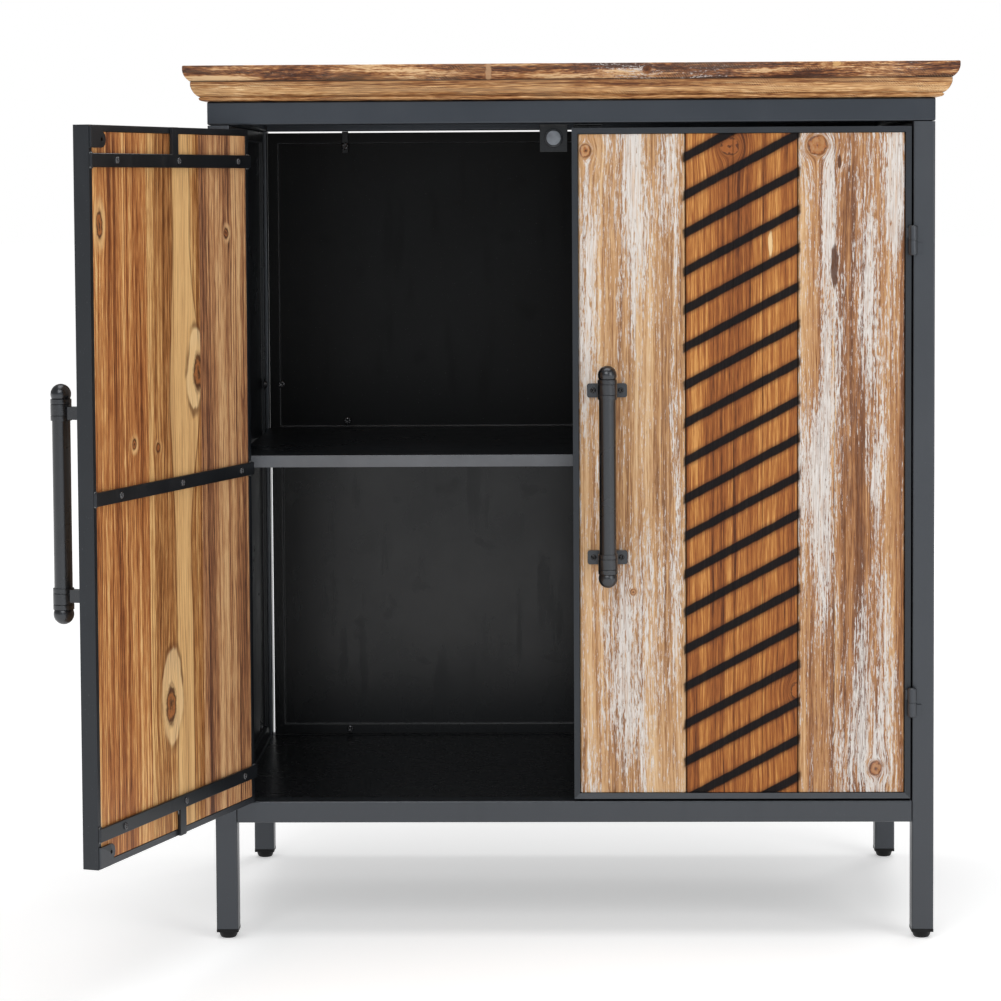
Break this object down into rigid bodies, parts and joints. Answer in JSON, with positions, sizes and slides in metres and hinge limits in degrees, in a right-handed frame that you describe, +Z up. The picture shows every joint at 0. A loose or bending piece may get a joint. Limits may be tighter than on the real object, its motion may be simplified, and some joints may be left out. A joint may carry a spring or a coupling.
{
  "type": "sideboard buffet",
  "caption": "Sideboard buffet with a steel tube frame, a moulded wooden top, plank doors on lift-off hinges and a shelf.",
  "frame": {"origin": "on the floor, at the middle of the steel frame's footprint", "axes": "+Z up, +X to the right of a person facing the doors, -Y towards that person"},
  "size_m": [0.8791, 0.7569, 0.9],
  "materials": {
    "top_wood": "stained and whitewashed, satin",
    "moulding_wood": "stained and whitewashed, satin",
    "plank_wood": "distressed whitewash over brown stain",
    "centre_plank_wood": "honey stain with dark painted grooves",
    "frame_steel": "slate grey powder coat, satin",
    "panel_steel": "near-black powder coat, satin",
    "handle_steel": "gunmetal, semi-gloss",
    "magnet": "dull plated",
    "foot_plastic": "black, matte"
  },
  "bodies": {
    "cabinet": {"top_panel": "top_wood", "top_moulding_front": "moulding_wood", "top_moulding_left": "moulding_wood", "top_moulding_right": "moulding_wood", "top_batten_back": "moulding_wood", "top_rail_front": "frame_steel", "top_rail_back": "frame_steel", "top_rail_left": "frame_steel", "top_rail_right": "frame_steel", "lower_rail_front": "frame_steel", "lower_rail_back": "frame_steel", "lower_rail_left": "frame_steel", "lower_rail_right": "frame_steel", "leg_front_left": "frame_steel", "leg_front_right": "frame_steel", "leg_back_left": "frame_steel", "leg_back_right": "frame_steel", "foot_front_left": "foot_plastic", "foot_front_right": "foot_plastic", "foot_back_left": "foot_plastic", "foot_back_right": "foot_plastic", "back_panel_upper": "panel_steel", "back_panel_lower": "panel_steel", "side_panel_left": "panel_steel", "side_panel_right": "panel_steel", "floor_panel": "panel_steel", "shelf": "panel_steel", "catch_bracket_left": "panel_steel", "catch_bracket_right": "panel_steel", "catch_magnet_left": "magnet", "catch_magnet_right": "magnet", "hinge_socket_left_upper": "frame_steel", "hinge_socket_left_lower": "frame_steel", "hinge_socket_right_upper": "frame_steel", "hinge_socket_right_lower": "frame_steel"},
    "door_left": {"door_left_frame": "frame_steel", "door_left_plank_hinge_side": "plank_wood", "door_left_plank_centre": "centre_plank_wood", "door_left_plank_free_side": "plank_wood", "door_left_strap_upper": "frame_steel", "door_left_strap_middle": "frame_steel", "door_left_strap_lower": "frame_steel", "door_left_handle_grip": "handle_steel", "door_left_handle_bracket_upper": "handle_steel", "door_left_handle_bracket_lower": "handle_steel", "door_left_hinge_upper": "frame_steel", "door_left_hinge_lower": "frame_steel"},
    "door_right": {"door_right_frame": "frame_steel", "door_right_plank_hinge_side": "plank_wood", "door_right_plank_centre": "centre_plank_wood", "door_right_plank_free_side": "plank_wood", "door_right_strap_upper": "frame_steel", "door_right_strap_middle": "frame_steel", "door_right_strap_lower": "frame_steel", "door_right_handle_grip": "handle_steel", "door_right_handle_bracket_upper": "handle_steel", "door_right_handle_bracket_lower": "handle_steel", "door_right_hinge_upper": "frame_steel", "door_right_hinge_lower": "frame_steel"}
  },
  "joints": [
    {"name": "door_left_hinge", "type": "hinge", "parent": "cabinet", "child": "door_left", "pos_m": [-0.347, -0.2134, 0], "axis": [0, 0, -1], "range_deg": [-109, 66]},
    {"name": "door_right_hinge", "type": "hinge", "parent": "cabinet", "child": "door_right", "pos_m": [0.347, -0.2134, 0], "axis": [0, 0, 1], "range_deg": [0, 175]}
  ]
}
